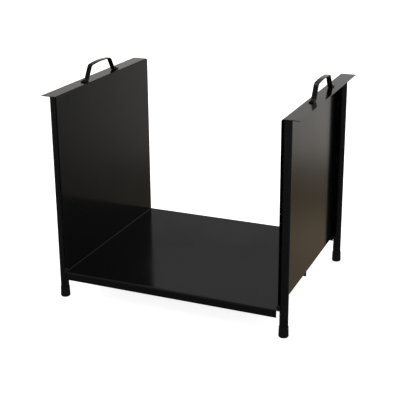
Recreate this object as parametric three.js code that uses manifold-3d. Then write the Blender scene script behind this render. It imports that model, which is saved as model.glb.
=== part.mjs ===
// Firewood log rack in painted sheet steel.
// Millimetres, +Z up. The origin is on the floor, midway between the side panels and midway
// along their depth. +X is the rack's right side, and -Y is its front.

import * as THREE from 'three';
import { mergeVertices } from 'three/addons/utils/BufferGeometryUtils.js';
import Module from 'manifold-3d';

// ---------------------------------------------------------------- driving dimensions

// Rack
const innerWidth = 450; // between the side panels' inner faces
const depth = 396; // front edge to rear edge of a panel
const panelTop = 422; // top face of the hand flange, above the floor
const trayTop = 58.6; // upper face of the tray, above the floor

// Sheet metal
const sheet = 1.2; // thickness of the panels and the tray
const panelBend = 3.8; // outer radius of the panels' bends
const trayBend = 3.5; // outer radius of the tray's bends
const handFlange = 34; // top flange, from the panel's inner face outward
const ledge = 20; // bottom flange, from the panel's inner face inward
const lipHeight = 17.3; // tray lips, from the tray's upper face down
const trayOverhang = 2; // tray lip's outer face beyond a panel's edge
const trayEdgeGap = 1.9; // tray's side edge to the panel's inner face

// Stiffener
const stiffenerSheet = 1.5;
const stiffenerWidth = 20;
const stiffenerBend = 3;
const stiffenerHeight = 16;
const stiffenerEndGap = 4; // stiffener's end to the panel's inner face

// Legs and their caps
const tubeDiameter = 17;
const tubeWall = 1.2;
const capHeight = 22;
const capWall = 1.4;
const capFloor = 3;
const capTaper = 0.7; // how much slimmer the cap is at its mouth, in radius
const capEdge = 3.2; // rounding of the cap's lower edge
const beadLength = 6.8; // corner weld, along X
const beadWidth = 4.4; // corner weld, along Y
const beadHeight = 3.2; // corner weld, along Z
const beadBite = 2.6; // how far the corner weld runs into the leg's round

// Handles
const strapWidth = 10;
const strapThickness = 2.5;
const handleLine = 15.5; // panel's inner face to the middle of the strap
const handleSetBack = 4; // middle of the handle behind the middle of the panel
const handleFootEnd = 73.5; // middle of the handle to the end of a foot
const handleFootBend = 57.7; // middle of the handle to the foot's bend
const handleShoulder = 40.6; // middle of the handle to the upper bend
const handleShoulderRise = 30.8; // upper bend above the hand flange
const handleRise = 34; // highest point above the hand flange
const footBendRadius = 3.5; // of the strap's middle
const shoulderBendRadius = 10; // of the strap's middle
const crownRadius = 260; // of the strap's middle

// Handle fasteners
const screwDiameter = 4;
const screwHeadDiameter = 7.6;
const screwHeadHeight = 2;
const screwHeadRim = 0.5;
const screwTail = 2; // thread below the nut
const nutAcrossFlats = 7;
const nutHeight = 3.2;
const screwInset = 6.6; // foot end to the screw's axis

// Clearances
const paintGap = 0.2; // between pieces that lie on each other
const copeGap = 0.15; // between a leg's coped top and the panel's bend
const holeClearance = 0.3; // around the screw in its holes, in radius
const threadClearance = 0.1; // around the screw in its nut, in radius
const capClearance = 0.1; // around the tube in its cap, in radius
const reliefGap = 0.6; // ledge notch around the tray's lip

// Fineness of the curves
const bendSteps = 5;
const roundSteps = 32;
const smallRoundSteps = 20;

// ---------------------------------------------------------------- sizes that follow

const innerHalf = innerWidth / 2;
const halfDepth = depth / 2;
const trayUnder = trayTop - sheet;
const ledgeBottom = trayUnder - paintGap - sheet;
const lipBottom = trayTop - lipHeight;
const lipOuter = halfDepth + trayOverhang;
const trayHalf = innerHalf - trayEdgeGap;
const tubeRadius = tubeDiameter / 2;
const legX = innerHalf + sheet + paintGap + tubeRadius;
const legY = halfDepth - tubeRadius;
const legBottom = capFloor + paintGap;
const legTop = panelTop - sheet - paintGap;
const handleX = innerHalf + handleLine;
const strapFootMiddle = panelTop + paintGap + strapThickness / 2;
const screwY = handleFootEnd - screwInset;
const screwSeat = panelTop + paintGap + strapThickness + paintGap;
const nutTop = panelTop - sheet - paintGap;
const sides = [['left', -1], ['right', 1]];
const ends = [['front', -1], ['rear', 1]];

// ---------------------------------------------------------------- finishes

function finish(color, roughness, metalness) {
  return new THREE.MeshStandardMaterial({ color, roughness, metalness });
}

const panelPaint = finish(0x16181a, 0.3, 0.1);
const trayPaint = finish(0x1a1c1e, 0.32, 0.1);
const legPaint = finish(0x141517, 0.35, 0.1);
const handlePaint = finish(0x18191b, 0.28, 0.1);
const capPlastic = finish(0x202123, 0.6, 0);
const blackedSteel = finish(0x101112, 0.4, 0.6);

// ---------------------------------------------------------------- solids

const wasm = await Module();
wasm.setup();

function toSolid(geometry) {
  const bare = geometry.clone();
  bare.deleteAttribute('normal');
  bare.deleteAttribute('uv');
  const welded = mergeVertices(bare, 1e-4);
  const mesh = new wasm.Mesh({
    numProp: 3,
    vertProperties: new Float32Array(welded.attributes.position.array),
    triVerts: new Uint32Array(welded.index.array),
  });
  return new wasm.Manifold(mesh);
}

function toGeometry(solid) {
  const mesh = solid.getMesh();
  const geometry = new THREE.BufferGeometry();
  geometry.setAttribute('position', new THREE.BufferAttribute(mesh.vertProperties, 3));
  geometry.setIndex(new THREE.BufferAttribute(mesh.triVerts, 1));
  geometry.computeVertexNormals();
  return geometry;
}

// The outline of a folded strip: its middle line runs through the corners, each corner is
// rounded by its bend radius, and the strip lies half its thickness to either side.
function foldedStrip(corners, thickness) {
  const leftEdge = [];
  const rightEdge = [];

  function station(point, direction) {
    const normal = new THREE.Vector2(-direction.y, direction.x).multiplyScalar(thickness / 2);
    leftEdge.push(point.clone().add(normal));
    rightEdge.push(point.clone().sub(normal));
  }

  const points = corners.map((corner) => new THREE.Vector2(corner.u, corner.v));
  const last = points.length - 1;
  station(points[0], points[1].clone().sub(points[0]).normalize());
  for (let i = 1; i < last; i += 1) {
    const before = points[i].clone().sub(points[i - 1]).normalize();
    const after = points[i + 1].clone().sub(points[i]).normalize();
    const turn = Math.atan2(before.cross(after), before.dot(after));
    const reach = corners[i].bend * Math.tan(Math.abs(turn) / 2);
    const start = points[i].clone().addScaledVector(before, -reach);
    const toCentre = new THREE.Vector2(-before.y, before.x).multiplyScalar(Math.sign(turn) * corners[i].bend);
    const centre = start.clone().add(toCentre);
    for (let step = 0; step <= bendSteps; step += 1) {
      const angle = (turn * step) / bendSteps;
      const direction = before.clone().rotateAround(new THREE.Vector2(), angle);
      station(start.clone().rotateAround(centre, angle), direction);
    }
  }
  station(points[last], points[last].clone().sub(points[last - 1]).normalize());
  return new THREE.Shape(leftEdge.concat(rightEdge.reverse()));
}

// A shape drawn in X and Z, drawn out along Y about the rack's middle.
function alongY(shape, length) {
  const geometry = new THREE.ExtrudeGeometry(shape, { depth: length, bevelEnabled: false, curveSegments: 1 });
  geometry.rotateX(Math.PI / 2);
  geometry.translate(0, length / 2, 0);
  return geometry;
}

// A shape drawn in Y and Z, drawn out along X about the given middle.
function alongX(shape, length, middle) {
  const geometry = new THREE.ExtrudeGeometry(shape, { depth: length, bevelEnabled: false, curveSegments: 1 });
  const turned = new THREE.Matrix4().set(0, 0, 1, 0, 1, 0, 0, 0, 0, 1, 0, 0, 0, 0, 0, 1);
  geometry.applyMatrix4(turned);
  geometry.translate(middle - length / 2, 0, 0);
  return geometry;
}

// A closed profile of radius and height, turned about the vertical axis.
function turned(profile, steps) {
  const points = profile.map(([radius, height]) => new THREE.Vector2(radius, height));
  const geometry = new THREE.LatheGeometry(points, steps);
  geometry.rotateX(Math.PI / 2);
  return geometry;
}

function piece(name, geometry, material) {
  const mesh = new THREE.Mesh(geometry, material);
  mesh.name = name;
  return mesh;
}

// ---------------------------------------------------------------- side panels

function screwHole(x, y) {
  const hole = new THREE.CylinderGeometry(
    screwDiameter / 2 + holeClearance,
    screwDiameter / 2 + holeClearance,
    panelBend * 2 + strapThickness,
    smallRoundSteps,
  );
  hole.rotateX(Math.PI / 2);
  hole.translate(x, y, panelTop);
  return toSolid(hole);
}

// The bent panel as one long strip, with its wall grown by the margin on both faces.
function bentPanel(side, margin) {
  const bend = panelBend - sheet / 2;
  const wallMiddle = side * (innerHalf + sheet / 2);
  const profile = foldedStrip([
    { u: side * (innerHalf - ledge), v: ledgeBottom + sheet / 2 },
    { u: wallMiddle, v: ledgeBottom + sheet / 2, bend },
    { u: wallMiddle, v: panelTop - sheet / 2, bend },
    { u: side * (innerHalf + handFlange), v: panelTop - sheet / 2 },
  ], sheet + margin * 2);
  return toSolid(alongY(profile, depth + margin * 2));
}

function sidePanel(side) {
  let solid = bentPanel(side, 0);
  for (const [, end] of ends) {
    const notchDepth = trayBend + reliefGap - trayOverhang;
    const notchInner = innerHalf - ledge - reliefGap;
    const notchOuter = trayHalf + reliefGap;
    const notch = new THREE.BoxGeometry(notchOuter - notchInner, notchDepth * 2, panelBend * 2);
    notch.translate((side * (notchInner + notchOuter)) / 2, end * halfDepth, ledgeBottom);
    solid = solid.subtract(toSolid(notch));
    solid = solid.subtract(screwHole(side * handleX, handleSetBack + end * screwY));
  }
  return toGeometry(solid);
}

// ---------------------------------------------------------------- legs and caps

function legTube() {
  const outer = tubeRadius;
  const bore = tubeRadius - tubeWall;
  return turned([
    [bore, legBottom],
    [outer, legBottom],
    [outer, legTop],
    [bore, legTop],
    [bore, legBottom],
  ], roundSteps);
}

// The tube, coped at its top round the panel's bend, with the weld that joins it to the
// tray's corner just under the ledge.
function leg(side, end) {
  const tube = legTube();
  tube.translate(side * legX, end * legY, 0);
  const coped = toSolid(tube).subtract(bentPanel(side, copeGap));
  const bead = new THREE.SphereGeometry(1 / 2, smallRoundSteps, bendSteps * 2);
  bead.scale(beadLength, beadWidth, beadHeight);
  const beadOuterEnd = legX - tubeRadius + beadBite;
  bead.translate(
    side * (beadOuterEnd - beadLength / 2),
    end * (halfDepth - sheet - paintGap - beadWidth / 2),
    ledgeBottom - paintGap - beadHeight / 2,
  );
  return toGeometry(coped.add(toSolid(bead)));
}

function footCap() {
  const bore = tubeRadius + capClearance;
  const outer = bore + capWall;
  const profile = [[0, 0]];
  for (let step = 0; step <= bendSteps; step += 1) {
    const angle = (Math.PI / 2) * (step / bendSteps);
    profile.push([outer - capEdge + capEdge * Math.sin(angle), capEdge - capEdge * Math.cos(angle)]);
  }
  profile.push([outer - capTaper, capHeight]);
  profile.push([bore, capHeight]);
  profile.push([bore, capFloor]);
  profile.push([0, capFloor]);
  return turned(profile, roundSteps);
}

// ---------------------------------------------------------------- tray and stiffener

function logTray() {
  const lip = lipOuter - sheet / 2;
  const bend = trayBend - sheet / 2;
  const profile = foldedStrip([
    { u: -lip, v: lipBottom },
    { u: -lip, v: trayTop - sheet / 2, bend },
    { u: lip, v: trayTop - sheet / 2, bend },
    { u: lip, v: lipBottom },
  ], sheet);
  return alongX(profile, trayHalf * 2, 0);
}

function trayStiffener() {
  const flangeMiddle = ledgeBottom - paintGap - stiffenerSheet / 2;
  const profile = foldedStrip([
    { u: 0, v: flangeMiddle + stiffenerSheet / 2 - stiffenerHeight },
    { u: 0, v: flangeMiddle, bend: stiffenerBend - stiffenerSheet / 2 },
    { u: stiffenerWidth, v: flangeMiddle },
  ], stiffenerSheet);
  return alongX(profile, (innerHalf - stiffenerEndGap) * 2, 0);
}

// ---------------------------------------------------------------- handles and fasteners

function handle(side) {
  const shoulder = panelTop + handleShoulderRise - strapThickness / 2;
  const crown = panelTop + handleRise - strapThickness / 2;
  const profile = foldedStrip([
    { u: -handleFootEnd, v: strapFootMiddle },
    { u: -handleFootBend, v: strapFootMiddle, bend: footBendRadius },
    { u: -handleShoulder, v: shoulder, bend: shoulderBendRadius },
    { u: 0, v: crown, bend: crownRadius },
    { u: handleShoulder, v: shoulder, bend: shoulderBendRadius },
    { u: handleFootBend, v: strapFootMiddle, bend: footBendRadius },
    { u: handleFootEnd, v: strapFootMiddle },
  ], strapThickness);
  const strap = alongX(profile, strapWidth, side * handleX);
  strap.translate(0, handleSetBack, 0);
  let solid = toSolid(strap);
  for (const [, end] of ends) {
    solid = solid.subtract(screwHole(side * handleX, handleSetBack + end * screwY));
  }
  return toGeometry(solid);
}

function handleScrew() {
  const shank = screwDiameter / 2;
  const headRadius = screwHeadDiameter / 2;
  const dome = screwHeadHeight - screwHeadRim;
  const tip = nutTop - nutHeight - screwTail;
  const profile = [[0, tip], [shank, tip], [shank, screwSeat]];
  for (let step = 0; step <= bendSteps; step += 1) {
    const angle = (Math.PI / 2) * (step / bendSteps);
    profile.push([headRadius * Math.cos(angle), screwSeat + screwHeadRim + dome * Math.sin(angle)]);
  }
  profile.splice(3, 0, [headRadius, screwSeat]);
  profile[profile.length - 1][0] = 0;
  return turned(profile, smallRoundSteps);
}

function handleNut() {
  const hexagon = new THREE.Shape();
  const cornerRadius = nutAcrossFlats / Math.sqrt(3);
  for (let corner = 0; corner < 6; corner += 1) {
    const angle = (Math.PI / 3) * corner;
    const x = cornerRadius * Math.cos(angle);
    const y = cornerRadius * Math.sin(angle);
    if (corner === 0) {
      hexagon.moveTo(x, y);
    } else {
      hexagon.lineTo(x, y);
    }
  }
  hexagon.closePath();
  const bore = new THREE.Path();
  bore.absarc(0, 0, screwDiameter / 2 + threadClearance, 0, Math.PI * 2, true);
  hexagon.holes.push(bore);
  const options = { depth: nutHeight, bevelEnabled: false, curveSegments: smallRoundSteps };
  const geometry = new THREE.ExtrudeGeometry(hexagon, options);
  geometry.translate(0, 0, nutTop - nutHeight);
  return geometry;
}

// ---------------------------------------------------------------- assembly

const rack = new THREE.Group();

rack.add(piece('log_tray', logTray(), trayPaint));
rack.add(piece('tray_stiffener', trayStiffener(), legPaint));

for (const [sideName, side] of sides) {
  rack.add(piece(`side_panel_${sideName}`, sidePanel(side), panelPaint));
  rack.add(piece(`handle_${sideName}`, handle(side), handlePaint));
  for (const [endName, end] of ends) {
    const corner = `${endName}_${sideName}`;
    rack.add(piece(`leg_${corner}`, leg(side, end), legPaint));

    const cap = piece(`foot_cap_${corner}`, footCap(), capPlastic);
    cap.position.set(side * legX, end * legY, 0);
    rack.add(cap);

    const screw = piece(`handle_screw_${corner}`, handleScrew(), blackedSteel);
    screw.position.set(side * handleX, handleSetBack + end * screwY, 0);
    rack.add(screw);

    const nut = piece(`handle_nut_${corner}`, handleNut(), blackedSteel);
    nut.position.set(side * handleX, handleSetBack + end * screwY, 0);
    rack.add(nut);
  }
}

export default rack;
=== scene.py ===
# %% [markdown]
# # A firewood log rack
# This lesson builds a black log rack in Blender around its CAD frame. The rack is folded sheet
# steel: two side panels, a tray between them, four tube legs and two strap handles. Each piece
# is modelled the way a metalworker makes it: cut a flat blank, fold it, then break its edges.

# %% Load the frame
import math

import bmesh
import bpy
from mathutils import Euler, Matrix, Vector


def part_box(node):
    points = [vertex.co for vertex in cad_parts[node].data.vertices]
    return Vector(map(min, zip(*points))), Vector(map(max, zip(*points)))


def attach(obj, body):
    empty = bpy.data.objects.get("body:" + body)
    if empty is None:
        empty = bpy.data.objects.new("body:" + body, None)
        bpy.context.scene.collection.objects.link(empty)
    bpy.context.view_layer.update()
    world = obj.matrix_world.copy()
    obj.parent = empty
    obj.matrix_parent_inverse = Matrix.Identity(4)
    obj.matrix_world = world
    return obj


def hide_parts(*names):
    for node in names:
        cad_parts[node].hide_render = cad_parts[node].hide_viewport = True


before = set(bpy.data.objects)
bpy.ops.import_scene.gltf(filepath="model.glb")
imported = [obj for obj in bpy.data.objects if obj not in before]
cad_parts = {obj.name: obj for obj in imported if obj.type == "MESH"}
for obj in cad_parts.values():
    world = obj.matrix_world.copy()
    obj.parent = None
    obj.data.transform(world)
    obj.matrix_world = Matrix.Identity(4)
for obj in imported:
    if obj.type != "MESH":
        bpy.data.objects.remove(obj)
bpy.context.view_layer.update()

MM = 0.001
right_angle = math.radians(90)
half_circle = math.radians(180)

# %% [markdown]
# ## Camera
# The rack is seen from its front right and a little from above, through a short telephoto
# lens. A camera can be placed by two points or by angles. Angles are easier to read here: the
# camera stands at a distance from a point inside the rack and looks back at it. A small shift
# of the frame lets the camera tilt down less, so the upright lines lean together less.

# %% Camera
camera_aim = Vector((-12.2, -0.8, 240.7)) * MM
camera_distance = 1915.9 * MM
camera_turn = math.radians(23.06)
camera_above = math.radians(18.22)
camera_roll = math.radians(-0.51)

camera_data = bpy.data.cameras.new("camera")
camera_data.lens = 83.36
camera_data.sensor_width = 36
camera_data.shift_y = -0.075
camera = bpy.data.objects.new("camera", camera_data)
bpy.context.scene.collection.objects.link(camera)
bpy.context.scene.camera = camera

look = Euler((right_angle - camera_above, 0, camera_turn)).to_matrix()
camera_matrix = (look @ Matrix.Rotation(camera_roll, 3, "Z")).to_4x4()
camera_matrix.translation = camera_aim + look @ Vector((0, 0, camera_distance))
camera.matrix_world = camera_matrix
print("camera at", [round(value, 3) for value in camera.matrix_world.translation])

# %% [markdown]
# ## Studio floor
# The rack stands on a light table, a pale floor that glows a little from below. It keeps the
# shadow under the tray faint, so the thin black pieces stand out against it. The gloss doesn't
# mirror it, because the studio surround further down takes its place there.

# %% Studio floor
floor_white = 0.9
floor_roughness = 0.9
white = (1, 1, 1, 1)


def add_floor(width, glow):
    bpy.ops.object.select_all(action="DESELECT")
    bpy.ops.mesh.primitive_plane_add(size=width)
    floor = bpy.context.object
    floor.name = "studio_floor"
    surface = bpy.data.materials.new("studio_floor")
    surface.use_nodes = True
    shader = surface.node_tree.nodes["Principled BSDF"]
    shader.inputs["Base Color"].default_value = (floor_white, floor_white, floor_white, 1)
    shader.inputs["Roughness"].default_value = floor_roughness
    shader.inputs["Specular IOR Level"].default_value = 0
    shader.inputs["Emission Color"].default_value = white
    shader.inputs["Emission Strength"].default_value = glow
    floor.data.materials.append(surface)
    floor.visible_glossy = False


add_floor(width=12, glow=0.86)

# %% [markdown]
# ## Studio surround
# Gloss black paint has almost no colour of its own: it shows what stands round it. So the
# surround matters more than any lamp. Behind the rack hangs a backdrop that is bright at
# the height of the tray and fades upward and downward. In front, towards the camera, the room
# is dark, apart from one wide soft light overhead. Two colour ramps hold the brightness by
# height, and the direction round the rack mixes them. Only gloss sees this surround. All
# other rays see an even white dome, which gives the plain soft light.

# %% Studio surround
dome_strength = 0.55

backdrop_bands = [
    # height above the horizon in degrees, brightness, warmth
    (-90, 0.10, 0.05),
    (-34, 0.19, 0.12),
    (-27, 0.25, 0.40),
    (-24.5, 0.29, 0.50),
    (-22, 0.35, 0.50),
    (-20, 0.19, 0.55),
    (-18.2, 0.25, 0.30),
    (-16.8, 0.57, 0.15),
    (-15, 0.67, 0.12),
    (-10, 0.74, 0.10),
    (8, 0.66, 0.06),
    (13, 0.54, 0.05),
    (15.5, 0.51, 0.04),
    (18, 0.30, 0.0),
    (20.8, 0.14, 0.0),
    (23, 0.20, 0.0),
    (25.5, 0.31, 0.0),
    (32, 0.25, 0.0),
    (45, 0.12, 0.0),
    (60, 0.25, 0.0),
    (72, 1.30, 0.0),
    (90, 1.50, 0.0),
]
room_bands = [
    (-90, 0.05, 0.0),
    (-28, 0.08, 0.0),
    (-20, 0.09, 0.0),
    (-16, 0.11, 0.0),
    (-11, 0.17, 0.0),
    (-4, 0.32, 0.0),
    (6, 0.36, 0.0),
    (18, 0.22, 0.0),
    (35, 0.12, 0.0),
    (60, 0.25, 0.0),
    (72, 1.30, 0.0),
    (90, 1.50, 0.0),
]
backdrop_edges = (0.52, 0.86)
green_share = 0.45


def brightness_ramp(nodes, bands):
    ramp = nodes.new("ShaderNodeValToRGB")
    stops = ramp.color_ramp.elements
    stops.remove(stops[1])
    for number, (degrees, brightness, warmth) in enumerate(bands):
        place = (math.sin(math.radians(degrees)) + 1) / 2
        stop = stops.new(place) if number else stops[0]
        stop.position = place
        green, blue = 1 - green_share * warmth, 1 - warmth
        stop.color = (brightness, brightness * green, brightness * blue, 1)
    return ramp


def build_surround():
    world = bpy.data.worlds.new("studio_surround")
    world.use_nodes = True
    bpy.context.scene.world = world
    nodes, link = world.node_tree.nodes, world.node_tree.links.new
    nodes.clear()
    direction = nodes.new("ShaderNodeTexCoord").outputs["Generated"]
    split = nodes.new("ShaderNodeSeparateXYZ")
    link(direction, split.inputs[0])
    height = nodes.new("ShaderNodeMapRange")
    height.inputs["From Min"].default_value = -1
    link(split.outputs["Z"], height.inputs["Value"])

    level = nodes.new("ShaderNodeVectorMath")
    level.operation = "MULTIPLY"
    level.inputs[1].default_value = (1, 1, 0)
    link(direction, level.inputs[0])
    unit = nodes.new("ShaderNodeVectorMath")
    unit.operation = "NORMALIZE"
    link(level.outputs[0], unit.inputs[0])
    facing = nodes.new("ShaderNodeVectorMath")
    facing.operation = "DOT_PRODUCT"
    facing.inputs[1].default_value = (-math.sin(camera_turn), math.cos(camera_turn), 0)
    link(unit.outputs[0], facing.inputs[0])
    reach = nodes.new("ShaderNodeMapRange")
    reach.inputs["From Min"].default_value = backdrop_edges[0]
    reach.inputs["From Max"].default_value = backdrop_edges[1]
    link(facing.outputs["Value"], reach.inputs["Value"])

    backdrop, room = (brightness_ramp(nodes, bands) for bands in (backdrop_bands, room_bands))
    blend = nodes.new("ShaderNodeMix")
    blend.data_type = "RGBA"
    link(reach.outputs["Result"], blend.inputs["Factor"])
    for ramp, side in ((room, "A"), (backdrop, "B")):
        link(height.outputs["Result"], ramp.inputs["Fac"])
        link(ramp.outputs["Color"], blend.inputs[side])
    mirrored = nodes.new("ShaderNodeBackground")
    link(blend.outputs["Result"], mirrored.inputs["Color"])

    dome = nodes.new("ShaderNodeBackground")
    dome.inputs["Strength"].default_value = dome_strength
    dome.inputs["Color"].default_value = white
    seen = nodes.new("ShaderNodeBackground")
    seen.inputs["Color"].default_value = white
    ray = nodes.new("ShaderNodeLightPath")
    plain = nodes.new("ShaderNodeMixShader")
    link(ray.outputs["Is Camera Ray"], plain.inputs["Fac"])
    link(dome.outputs[0], plain.inputs[1])
    link(seen.outputs[0], plain.inputs[2])
    mix = nodes.new("ShaderNodeMixShader")
    link(ray.outputs["Is Glossy Ray"], mix.inputs["Fac"])
    link(plain.outputs[0], mix.inputs[1])
    link(mirrored.outputs[0], mix.inputs[2])
    link(mix.outputs[0], nodes.new("ShaderNodeOutputWorld").inputs["Surface"])


build_surround()
bpy.context.scene.view_settings.view_transform = "Standard"

# %% Studio lamp
def add_softbox(name, height, width, power):
    lamp_data = bpy.data.lights.new(name, "AREA")
    lamp_data.size = width
    lamp_data.energy = power
    lamp = bpy.data.objects.new(name, lamp_data)
    bpy.context.scene.collection.objects.link(lamp)
    lamp.location = (0, 0, height)
    lamp.visible_glossy = False


add_softbox("overhead_softbox", height=3.0, width=5.0, power=45)

# %% [markdown]
# ## Hand tools
# A few small helpers stand in for the mouse: add a blank, select edges by where they lie, fold
# them, give the sheet its thickness, cut it, copy a piece to its other places, and hand the
# finished piece to the frame.

# %% Selecting
def use_only(piece):
    bpy.ops.object.select_all(action="DESELECT")
    piece.select_set(True)
    bpy.context.view_layer.objects.active = piece


def edit(piece):
    use_only(piece)
    bpy.ops.object.mode_set(mode="EDIT")


def finish_edit():
    bpy.ops.object.mode_set(mode="OBJECT")


def near(value, wanted):
    return abs(value - wanted) < 0.01 * MM


def pick_edges(test):
    """In edit mode: selects the edges whose two ends both pass the test."""
    shape = bmesh.from_edit_mesh(bpy.context.object.data)
    bpy.ops.mesh.select_mode(type="EDGE")
    bpy.ops.mesh.select_all(action="DESELECT")
    for edge in shape.edges:
        edge.select_set(all(test(end.co) for end in edge.verts))
    bmesh.update_edit_mesh(bpy.context.object.data)


def pick_faces(test):
    """In edit mode: selects the faces whose normal passes the test."""
    shape = bmesh.from_edit_mesh(bpy.context.object.data)
    bpy.ops.mesh.select_mode(type="FACE")
    bpy.ops.mesh.select_all(action="DESELECT")
    for face in shape.faces:
        face.select_set(test(face.normal))
    bmesh.update_edit_mesh(bpy.context.object.data)


# %% Shaping
tube_facets = 64
screw_facets = 48
hole_facets = 40


def name_piece(name):
    piece = bpy.context.object
    piece.name = name
    piece.data.name = name
    return piece


def apply_place():
    bpy.ops.object.transform_apply(location=True, rotation=True, scale=True)


def flat_blank(name, middle, size, rotation=(0, 0, 0)):
    bpy.ops.object.select_all(action="DESELECT")
    bpy.ops.mesh.primitive_plane_add(size=1, location=middle, rotation=rotation)
    piece = name_piece(name)
    piece.scale = (size[0], size[1], 1)
    apply_place()
    return piece


def round_bar(name, middle, radius, length, vertices=tube_facets, ends="NGON"):
    bpy.ops.object.select_all(action="DESELECT")
    bpy.ops.mesh.primitive_cylinder_add(
        vertices=vertices, radius=radius, depth=length, location=middle, end_fill_type=ends
    )
    piece = name_piece(name)
    apply_place()
    return piece


def block(low, high):
    bpy.ops.object.select_all(action="DESELECT")
    bpy.ops.mesh.primitive_cube_add(size=1, location=(low + high) / 2)
    piece = name_piece("cutter")
    piece.scale = high - low
    apply_place()
    return piece


def pull_out(step):
    bpy.ops.mesh.extrude_region_move(TRANSFORM_OT_translate={"value": step})


def round_over(width, segments):
    bpy.ops.mesh.bevel(offset=width, segments=segments, profile=0.5, affect="EDGES")


# %% Finishing
merge_gap = 0.01 * MM


def add_modifier(piece, kind, **settings):
    use_only(piece)
    modifier = piece.modifiers.new(kind.title(), kind)
    for setting, value in settings.items():
        setattr(modifier, setting, value)
    bpy.ops.object.modifier_apply(modifier=modifier.name)


def give_thickness(piece, thickness):
    add_modifier(piece, "SOLIDIFY", thickness=thickness, offset=0, use_even_offset=True)


def break_edges(piece, width, segments=2, angle=40):
    limit = math.radians(angle)
    add_modifier(
        piece, "BEVEL", width=width, segments=segments, limit_method="ANGLE", angle_limit=limit
    )


def cut_away(piece, cutter, operation="DIFFERENCE"):
    add_modifier(piece, "BOOLEAN", operation=operation, object=cutter, solver="EXACT")
    bpy.data.objects.remove(cutter)


def merge_close(piece):
    """Joins points that a cut left almost on top of each other."""
    edit(piece)
    bpy.ops.mesh.select_all(action="SELECT")
    bpy.ops.mesh.remove_doubles(threshold=merge_gap)
    finish_edit()


def smooth_finish(piece, angle=35):
    use_only(piece)
    bpy.ops.object.shade_smooth_by_angle(angle=math.radians(angle))
    add_modifier(piece, "WEIGHTED_NORMAL", keep_sharp=True, weight=90)


def copy_piece(piece, name, shift, half_turn=False):
    """Copies a piece with its own mesh, turned half round the rack's middle if asked."""
    use_only(piece)
    bpy.ops.object.duplicate()
    copy = name_piece(name)
    if half_turn:
        copy.rotation_euler.z = half_circle
    copy.location = shift
    apply_place()
    return copy


def hand_over(piece, node, material):
    """The piece rides on the frame, stands for its CAD node and gets its material."""
    piece.data.materials.clear()
    piece.data.materials.append(material)
    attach(piece, "root")
    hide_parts(node)
    print(f"{piece.name}: {len(piece.data.polygons)} faces")


def middle_of(node):
    low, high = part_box(node)
    return (low + high) / 2


sides = {"right": 1, "left": -1}
ends = {"front": -1, "rear": 1}
corners = {f"{end}_{side}": (sides[side], ends[end]) for side in sides for end in ends}
print("corners:", ", ".join(corners))

# %% [markdown]
# ## Black paint
# The steel is sprayed with semi-gloss black paint. Three things make such paint look real: a
# very dark colour that dust lifts a little here and there, a faint ripple from the spray gun,
# and a gloss that is not the same all over, because hands and cloths dull it in soft patches.
# The sheet under it is never quite flat either, so a broad, shallow wave bends what it
# mirrors. All of it is drawn by noise in the piece's own coordinates, at its real size.

# %% Noise helpers
noise_swing = (0.3, 0.7)


def noise_at(tree, place, scale, detail):
    noise = tree.nodes.new("ShaderNodeTexNoise")
    noise.inputs["Scale"].default_value = scale
    noise.inputs["Detail"].default_value = detail
    tree.links.new(place.outputs["Object"], noise.inputs["Vector"])
    return noise.outputs["Fac"]


def spread(tree, value, limits):
    """Turns a noise into a range of values, with most of its swing between the limits."""
    wanted = tree.nodes.new("ShaderNodeMapRange")
    wanted.inputs["From Min"].default_value = noise_swing[0]
    wanted.inputs["From Max"].default_value = noise_swing[1]
    wanted.inputs["To Min"].default_value = limits[0]
    wanted.inputs["To Max"].default_value = limits[1]
    tree.links.new(value, wanted.inputs["Value"])
    return wanted.outputs["Result"]


def tinted(tree, value, dark, light):
    tint = tree.nodes.new("ShaderNodeMix")
    tint.data_type = "RGBA"
    tint.inputs["A"].default_value = (*dark, 1)
    tint.inputs["B"].default_value = (*light, 1)
    tree.links.new(value, tint.inputs["Factor"])
    return tint.outputs["Result"]


def rippled(tree, value, height, under=None):
    ripple = tree.nodes.new("ShaderNodeBump")
    ripple.inputs["Distance"].default_value = height
    tree.links.new(value, ripple.inputs["Height"])
    if under:
        tree.links.new(under, ripple.inputs["Normal"])
    return ripple.outputs["Normal"]


def new_finish(name):
    surface = bpy.data.materials.new(name)
    surface.use_nodes = True
    tree = surface.node_tree
    return surface, tree, tree.nodes["Principled BSDF"], tree.nodes.new("ShaderNodeTexCoord")


# %% Paint
dust_scale = 220.0
patch_scale = 9.0
wave_scale = 6.0
peel_scale = 700.0
clean_black = (0.0006, 0.0006, 0.0006)
dusty_black = (0.0018, 0.0018, 0.0018)


def black_paint(name, gloss, wave, peel):
    """gloss is a pair of roughness values; wave and peel are bump heights in metres."""
    paint, tree, shader, place = new_finish(name)
    link = tree.links.new
    dust = spread(tree, noise_at(tree, place, dust_scale, 3.0), (0.0, 1.0))
    link(tinted(tree, dust, clean_black, dusty_black), shader.inputs["Base Color"])
    patches = noise_at(tree, place, patch_scale, 3.0)
    link(spread(tree, patches, gloss), shader.inputs["Roughness"])
    waved = rippled(tree, noise_at(tree, place, wave_scale, 1.0), wave)
    peeled = rippled(tree, noise_at(tree, place, peel_scale, 1.0), peel, waved)
    link(peeled, shader.inputs["Normal"])
    return paint


panel_paint = black_paint("panel_paint", (0.10, 0.16), 0.12 * MM, 0.003 * MM)
tray_paint = black_paint("tray_paint", (0.11, 0.18), 0.12 * MM, 0.003 * MM)
leg_paint = black_paint("leg_paint", (0.22, 0.30), 0.04 * MM, 0.003 * MM)
handle_paint = black_paint("handle_paint", (0.13, 0.20), 0.02 * MM, 0.002 * MM)

# %% [markdown]
# ## Moulded caps and blacked steel
# The leg caps are moulded plastic, so they are duller than the paint and carry the fine even
# grain of the mould. The screws and nuts are blacked steel: a dark, slightly metallic skin.

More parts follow.
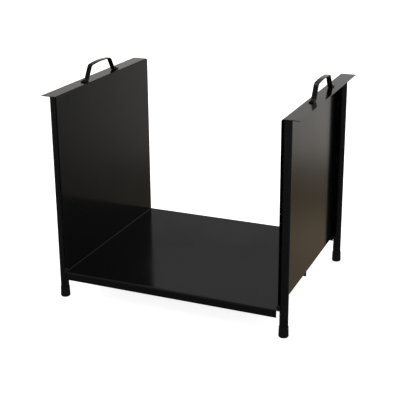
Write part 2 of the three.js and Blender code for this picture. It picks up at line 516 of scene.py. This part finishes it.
# %% Cap plastic and blacked steel
def grained_finish(name, dark, light, gloss, specular, metallic, grain_scale, grain):
    surface, tree, shader, place = new_finish(name)
    link = tree.links.new
    shader.inputs["Metallic"].default_value = metallic
    shader.inputs["Specular IOR Level"].default_value = specular
    speckle = noise_at(tree, place, grain_scale, 2.0)
    colour = tinted(tree, spread(tree, speckle, (0.0, 1.0)), dark, light)
    link(colour, shader.inputs["Base Color"])
    link(spread(tree, speckle, gloss), shader.inputs["Roughness"])
    link(rippled(tree, speckle, grain), shader.inputs["Normal"])
    return surface


cap_plastic = grained_finish(
    "cap_plastic",
    dark=(0.001, 0.001, 0.001),
    light=(0.003, 0.003, 0.003),
    gloss=(0.32, 0.46),
    specular=0.36,
    metallic=0.0,
    grain_scale=1500.0,
    grain=0.015 * MM,
)
blacked_steel = grained_finish(
    "blacked_steel",
    dark=(0.004, 0.004, 0.004),
    light=(0.009, 0.009, 0.01),
    gloss=(0.26, 0.4),
    specular=0.5,
    metallic=0.3,
    grain_scale=900.0,
    grain=0.006 * MM,
)

# %% [markdown]
# ## The tray
# The tray is a flat sheet with its front and rear edges folded down, which stops it sagging
# under the logs. A fold could be drawn as a profile and drawn out, but starting from the flat
# blank is closer to the bench: add a plane, extrude the two lips, and bevel the fold lines
# with enough segments to give them the press brake's radius.

# %% Tray
sheet = 1.2 * MM
tray_bend = 3.5 * MM
fold_segments = 8
raw_edge = 0.22 * MM

tray_low, tray_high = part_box("log_tray")


def fold(radius, test):
    pick_edges(test)
    round_over(radius, fold_segments)


def make_tray():
    height = tray_high.z - sheet / 2
    lip = tray_high.y - sheet / 2
    piece = flat_blank("log_tray_sheet", (0, 0, height), (tray_high.x - tray_low.x, 2 * lip))
    edit(piece)
    for end in ends.values():
        pick_edges(lambda point: near(point.y, end * lip) and near(point.z, height))
        pull_out((0, 0, tray_low.z - height))
    fold(tray_bend - sheet / 2, lambda point: near(point.z, height) and near(abs(point.y), lip))
    finish_edit()
    give_thickness(piece, sheet)
    break_edges(piece, raw_edge)
    smooth_finish(piece)
    hand_over(piece, "log_tray", tray_paint)


make_tray()

# %% [markdown]
# ## The side panels
# Each panel is one sheet with two folds: the top is bent outward into a flange for the hand
# and the handle, and the bottom is bent inward into a ledge that carries the tray. The folded
# blank is the same for both sides, so it is made once and turned half round for the other
# side. Only then are the corner notches and the screw holes cut, each in its own place.

# %% Folded panel blank
panel_bend = 3.8 * MM
tray_side_gap = 1.9 * MM
tray_overhang = 2 * MM
notch_margin = 0.6 * MM
inside_box = 0.02 * MM

panel_low, panel_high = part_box("side_panel_right")
inner_face = tray_high.x + tray_side_gap


def fold_panel():
    wall = inner_face + sheet / 2
    top = panel_high.z - sheet / 2
    bottom = panel_low.z + sheet / 2
    upright = (0, right_angle, 0)
    middle = (wall, 0, (top + bottom) / 2)
    length = panel_high.y - panel_low.y
    piece = flat_blank("side_panel_right_sheet", middle, (top - bottom, length), upright)
    edit(piece)
    for height, end in ((top, panel_high.x - inside_box), (bottom, panel_low.x)):
        pick_edges(lambda point: near(point.z, height))
        pull_out((end - wall, 0, 0))
    for height in (top, bottom):
        fold(panel_bend - sheet / 2, lambda point: near(point.x, wall) and near(point.z, height))
    finish_edit()
    give_thickness(piece, sheet)
    return piece


right_panel = fold_panel()
left_panel = copy_piece(right_panel, "side_panel_left_sheet", (0, 0, 0), half_turn=True)

# %% Notches and screw holes
screw_radius = 2 * MM
hole_radius = screw_radius + 0.3 * MM
drill_length = 8 * MM


def notch_ledge(piece, side, end):
    reach = tray_bend + notch_margin - tray_overhang
    across = sorted((side * (panel_low.x - MM), side * (tray_high.x + notch_margin)))
    along = sorted((end * (panel_high.y - reach), end * (panel_high.y + MM)))
    low = Vector((across[0], along[0], panel_low.z - MM))
    high = Vector((across[1], along[1], panel_low.z + panel_bend))
    cut_away(piece, block(low, high))


def drill(piece, corner, height):
    place = middle_of(f"handle_screw_{corner}")
    place.z = height
    cut_away(piece, round_bar("drill", place, hole_radius, drill_length, vertices=hole_facets))


for piece, side_name in ((right_panel, "right"), (left_panel, "left")):
    for end_name, end in ends.items():
        notch_ledge(piece, sides[side_name], end)
        drill(piece, f"{end_name}_{side_name}", panel_high.z)
    break_edges(piece, raw_edge)
    merge_close(piece)
    smooth_finish(piece)
    hand_over(piece, f"side_panel_{side_name}", panel_paint)

# %% [markdown]
# ## The stiffener
# A folded angle lies across the middle under the tray and ties both ledges together. It is
# made as the tray is: a flat blank, one edge drawn out, and one fold.

# %% Stiffener
def make_stiffener():
    thickness = 1.5 * MM
    bend = 3 * MM
    low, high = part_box("tray_stiffener")
    top = high.z - thickness / 2
    front = low.y + thickness / 2
    upright = (right_angle, 0, 0)
    middle = (0, front, (low.z + top) / 2)
    piece = flat_blank("tray_stiffener_angle", middle, (high.x - low.x, top - low.z), upright)
    edit(piece)
    pick_edges(lambda point: near(point.z, top))
    pull_out((0, high.y - front, 0))
    fold(bend - thickness / 2, lambda point: near(point.z, top) and near(point.y, front))
    finish_edit()
    give_thickness(piece, thickness)
    break_edges(piece, raw_edge)
    smooth_finish(piece)
    hand_over(piece, "tray_stiffener", leg_paint)


make_stiffener()

# %% [markdown]
# ## The legs
# The legs are round tube, welded along the outer faces of the panels. A leg is an open
# cylinder, and its top corner is sawn off at an angle so that it clears the rounded fold of
# the flange. It then gets its wall. One leg is made and copied to the other three corners.

# %% Legs
tube_radius = 8.5 * MM
tube_wall = 1.2 * MM


def make_leg(corner):
    low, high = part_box(f"leg_{corner}")
    middle = middle_of(f"foot_cap_{corner}")
    middle.z = (low.z + high.z) / 2
    wall_middle = tube_radius - tube_wall / 2
    piece = round_bar(f"leg_{corner}_tube", middle, wall_middle, high.z - low.z, ends="NOTHING")
    saw_line = Vector((middle.x - tube_radius, middle.y, high.z - panel_bend + sheet))
    edit(piece)
    bpy.ops.mesh.select_all(action="SELECT")
    bpy.ops.mesh.bisect(plane_co=saw_line, plane_no=(-1, 0, 1), clear_outer=True)
    finish_edit()
    give_thickness(piece, tube_wall)
    break_edges(piece, raw_edge)
    smooth_finish(piece)
    return piece


def copy_to_corners(piece, first, node, last_name, material, turns=False):
    """Hands over the first piece, and a copy of it at each of the other corners."""
    start = middle_of(f"{node}_{first}")
    for corner, (side, _) in corners.items():
        if corner == first:
            copy = piece
        else:
            turned = turns and side < 0
            begin = Vector((-start.x, -start.y, start.z)) if turned else start
            shift = middle_of(f"{node}_{corner}") - begin
            copy = copy_piece(piece, f"{node}_{corner}_{last_name}", shift, half_turn=turned)
        hand_over(copy, f"{node}_{corner}", material)


leg = make_leg("front_right")
copy_to_corners(leg, "front_right", "leg", "tube", leg_paint, turns=True)

# %% [markdown]
# ## The welds
# An upright bead at each corner joins the panel, the tray and the leg, and three short
# stitches join each tube to its panel, on the side that faces the other leg. A weld is a row
# of overlapping drops, so a bead is built the same way: flattened balls with an uneven skin,
# set one above the other and joined. At the front the bead closes the corner above the lip,
# and at the rear it runs down beside the lip.

# %% Weld beads
corner_bead = Vector((7.8, 5.2, 12.4)) * MM
corner_bead_height = {-1: 60 * MM, 1: 53 * MM}
corner_bead_out = 1.1 * MM
corner_bead_set_back = 1.6 * MM
stitch = Vector((3.0, 3.0, 15)) * MM
stitch_heights = [110 * MM, 235 * MM, 360 * MM]
stitch_out = 1.0 * MM
stitch_aside = 4.4 * MM
drop_overlap = 0.5
bead_ripple = 0.08 * MM


def make_bead(name, middle, size, drops, seed):
    drop_height = size.z / (1 + (drops - 1) * drop_overlap)
    bead = None
    for number in range(drops):
        step = (number - (drops - 1) / 2) * drop_overlap * drop_height
        bpy.ops.object.select_all(action="DESELECT")
        bpy.ops.mesh.primitive_uv_sphere_add(
            segments=20, ring_count=12, radius=0.5, location=middle + Vector((0, 0, step))
        )
        drop = name_piece(name if bead is None else "drop")
        drop.scale = (size.x, size.y, drop_height)
        apply_place()
        edit(drop)
        bpy.ops.mesh.select_all(action="SELECT")
        bpy.ops.transform.vertex_random(offset=bead_ripple, seed=seed + number)
        finish_edit()
        if bead is None:
            bead = drop
        else:
            cut_away(bead, drop, "UNION")
    merge_close(bead)
    smooth_finish(bead, angle=50)
    return bead


def corner_bead_place(corner):
    side, end = corners[corner]
    across = inner_face + corner_bead_out
    along = panel_high.y - corner_bead_set_back
    return Vector((side * across, end * along, corner_bead_height[end]))


def stitch_place(corner, height):
    side, end = corners[corner]
    leg_middle = middle_of(f"foot_cap_{corner}")
    across = inner_face + sheet + stitch_out
    return Vector((side * across, leg_middle.y - end * stitch_aside, height))


first_place = corner_bead_place("front_right")
first_bead = make_bead("corner_weld_front_right", first_place, corner_bead, drops=5, seed=7)
first_stitch_place = stitch_place("front_right", stitch_heights[0])
first_stitch = make_bead(
    "stitch_weld_front_right_1", first_stitch_place, stitch, drops=7, seed=30
)

for corner in corners:
    bead = first_bead
    if corner != "front_right":
        shift = corner_bead_place(corner) - first_place
        bead = copy_piece(first_bead, f"corner_weld_{corner}", shift)
    hand_over(bead, f"leg_{corner}", leg_paint)
    for number, height in enumerate(stitch_heights, start=1):
        weld = first_stitch
        if (corner, number) != ("front_right", 1):
            shift = stitch_place(corner, height) - first_stitch_place
            weld = copy_piece(first_stitch, f"stitch_weld_{corner}_{number}", shift)
        hand_over(weld, f"leg_{corner}", leg_paint)

# %% [markdown]
# ## Painted shade in the seams
# Where a round tube lies along a flat panel, the narrow seam between them lies in shade. A
# thin dark bar with broken edges fills each seam from the ledge up to the flange, so no light
# shows through: it is painted shade, a dark piece that stands in for the shade of the seam.

# %% Seam shade filler (painted shade)
seam_width = 3.4 * MM
seam_depth = 0.5 * MM
seam_bite = 0.1 * MM
seam_edge = 0.15 * MM


# Painted shade: a dark filler bar set in the crease between tube and panel, where shade falls.
def make_seam_shade_filler(corner):
    outer_face = inner_face + sheet
    middle = middle_of(f"leg_{corner}")
    low = Vector((outer_face - seam_bite, middle.y, panel_low.z + panel_bend))
    high = Vector((outer_face + seam_depth, middle.y, panel_high.z - panel_bend))
    half = Vector((0, seam_width / 2, 0))
    piece = block(low - half, high + half)
    piece.name = piece.data.name = f"seam_shade_filler_{corner}"
    break_edges(piece, seam_edge)
    smooth_finish(piece)
    return piece


first_seam = make_seam_shade_filler("front_right")
for corner, (side, _) in corners.items():
    seam = first_seam
    if corner != "front_right":
        start = middle_of("leg_front_right")
        begin = Vector((-start.x, -start.y, start.z)) if side < 0 else start
        shift = middle_of(f"leg_{corner}") - begin
        seam = copy_piece(first_seam, f"seam_shade_filler_{corner}", shift, half_turn=side < 0)
    hand_over(seam, f"leg_{corner}", leg_paint)

# %% [markdown]
# ## The leg caps
# Each cap is a plastic cup pushed over the end of its tube. It starts as a solid cylinder.
# Its top face is drawn in a little so that it grips, then inset and pushed down to make the
# cup, and its lower rim is rounded.

# %% Leg caps
cap_wall = 1.4 * MM
cap_floor = 3 * MM
cap_rim = 3.2 * MM
cap_taper = 0.7 * MM


def make_cap(corner):
    low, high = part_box(f"foot_cap_{corner}")
    middle = (low + high) / 2
    radius = (high.x - low.x) / 2
    piece = round_bar(f"foot_cap_{corner}_moulding", middle, radius, high.z - low.z)
    edit(piece)
    pick_faces(lambda normal: normal.z > 0.9)
    taper = (radius - cap_taper) / radius
    bpy.ops.transform.resize(value=(taper, taper, 1), center_override=middle)
    bpy.ops.mesh.inset(thickness=cap_wall - cap_taper)
    pull_out((0, 0, low.z + cap_floor - high.z))
    pick_edges(lambda point: near(point.z, low.z))
    round_over(cap_rim, 8)
    pick_edges(lambda point: near(point.z, high.z))
    round_over(raw_edge, 3)
    finish_edit()
    smooth_finish(piece)
    return piece


cap = make_cap("front_right")
copy_to_corners(cap, "front_right", "foot_cap", "moulding", cap_plastic)

# %% [markdown]
# ## The handles
# Each handle is a flat steel strap bent into a low arch with its feet turned outward. It
# starts as the flat of one foot, and its end edge is extruded from bend to bend. The bends
# are then rounded by bevels, the strap gets its thickness, and its edges are eased.

# %% Handles
strap = 2.5 * MM
bend_at = 57.7 * MM
shoulder_at = 40.6 * MM
shoulder_rise = 30.8 * MM
crown_rise = 34 * MM
bend_radius = 3.5 * MM
shoulder_radius = 10 * MM
crown_radius = 260 * MM
strap_edge = 0.45 * MM


def make_handle():
    low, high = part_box("handle_right")
    middle = (low + high) / 2
    foot_z = low.z + strap / 2
    shoulder_z = panel_high.z + shoulder_rise - strap / 2
    crown_z = panel_high.z + crown_rise - strap / 2
    foot_length = high.y - middle.y - bend_at
    start = (middle.x, low.y + foot_length / 2, foot_z)
    piece = flat_blank("handle_right_strap", start, (high.x - low.x, foot_length))
    steps = [(-bend_at, foot_z), (-shoulder_at, shoulder_z), (0, crown_z)]
    steps += [(shoulder_at, shoulder_z), (bend_at, foot_z), (bend_at + foot_length, foot_z)]
    edit(piece)
    for here, there in zip(steps, steps[1:]):
        pick_edges(lambda point: near(point.y, middle.y + here[0]) and near(point.z, here[1]))
        pull_out((0, there[0] - here[0], there[1] - here[1]))
    leg_slope = math.atan2(shoulder_z - foot_z, bend_at - shoulder_at)
    bar_slope = math.atan2(crown_z - shoulder_z, shoulder_at)
    bends = [
        (bend_at, foot_z, bend_radius * math.tan(leg_slope / 2)),
        (shoulder_at, shoulder_z, shoulder_radius * math.tan((leg_slope - bar_slope) / 2)),
        (0, crown_z, crown_radius * math.tan(bar_slope)),
    ]
    for along, height, reach in bends:
        fold(reach, lambda point: near(abs(point.y - middle.y), along) and near(point.z, height))
    finish_edit()
    give_thickness(piece, strap)
    for end_name in ends:
        drill(piece, f"{end_name}_right", foot_z)
    break_edges(piece, strap_edge, segments=3, angle=50)
    smooth_finish(piece)
    return piece


right_handle = make_handle()
left_shift = middle_of("handle_left") - middle_of("handle_right")
left_handle = copy_piece(right_handle, "handle_left_strap", left_shift)
hand_over(right_handle, "handle_right", handle_paint)
hand_over(left_handle, "handle_left", handle_paint)

# %% [markdown]
# ## The handle screws and nuts
# A low pan-head screw goes down through each handle foot and the flange, and a hexagon nut
# holds it from below. The head is a short cylinder with its top edge rounded over and a cross
# cut into it, and the tail is drawn in and out to make its thread. The nut is a six-sided
# prism trimmed by a round bar of nearly the same size, as a real nut is turned.

# %% Screws
head_height = 2 * MM
head_rim = 0.5 * MM
cross_arm = 1.9 * MM
cross_width = 0.7 * MM
cross_depth = 1.1 * MM
thread_pitch = 0.7 * MM
thread_depth = 0.3 * MM


def cut_thread(axis, length):
    turns = round(length / thread_pitch)
    draw_in = 1 - thread_depth / screw_radius
    for scale in (draw_in, 1 / draw_in) * turns:
        pull_out((0, 0, -length / turns / 2))
        bpy.ops.transform.resize(value=(scale, scale, 1), center_override=axis)


def make_screw(corner):
    low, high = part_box(f"handle_screw_{corner}")
    nut_low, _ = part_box(f"handle_nut_{corner}")
    axis = (low + high) / 2
    head_radius = (high.x - low.x) / 2
    seat = high.z - head_height
    head_middle = (axis.x, axis.y, seat + head_height / 2)
    name = f"handle_screw_{corner}_pan_head"
    piece = round_bar(name, head_middle, head_radius, head_height, vertices=screw_facets)
    edit(piece)
    pick_edges(lambda point: near(point.z, high.z))
    round_over(head_height - head_rim, 7)
    pick_faces(lambda normal: normal.z < -0.9)
    bpy.ops.mesh.inset(thickness=head_radius - screw_radius)
    pull_out((0, 0, nut_low.z - seat))
    cut_thread(axis, nut_low.z - low.z)
    finish_edit()
    top = Vector((axis.x, axis.y, high.z))
    for arm in ((cross_arm, cross_width / 2), (cross_width / 2, cross_arm)):
        reach = Vector((*arm, 0))
        floor_of_cut = top - reach - Vector((0, 0, cross_depth))
        cut_away(piece, block(floor_of_cut, top + reach + Vector((0, 0, MM))))
    smooth_finish(piece)
    return piece


screw = make_screw("front_right")
copy_to_corners(screw, "front_right", "handle_screw", "pan_head", blacked_steel)

# %% Nuts
nut_chamfer = 0.45 * MM
nut_trim = 0.985
trim_extra = 0.05 * MM
thread_clearance = 0.1 * MM


def make_nut(corner):
    low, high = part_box(f"handle_nut_{corner}")
    middle = (low + high) / 2
    height = high.z - low.z
    corner_radius = (high.x - low.x) / 2
    piece = round_bar(f"handle_nut_{corner}_hexagon", middle, corner_radius, height, vertices=6)
    edit(piece)
    bpy.ops.mesh.select_all(action="SELECT")
    bpy.ops.transform.rotate(value=right_angle / 3, orient_axis="Z", center_override=middle)
    finish_edit()
    trim_height = height + 2 * trim_extra
    trim_radius = corner_radius * nut_trim
    trim = round_bar("trim", middle, trim_radius, trim_height, vertices=screw_facets)
    edit(trim)
    for rim in (middle.z - trim_height / 2, middle.z + trim_height / 2):
        pick_edges(lambda point: near(point.z, rim))
        round_over(nut_chamfer, 1)
    finish_edit()
    cut_away(piece, trim, "INTERSECT")
    bore = screw_radius + thread_clearance
    cut_away(piece, round_bar("drill", middle, bore, 2 * height, vertices=hole_facets))
    smooth_finish(piece, angle=25)
    return piece


nut = make_nut("front_right")
copy_to_corners(nut, "front_right", "handle_nut", "hexagon", blacked_steel)
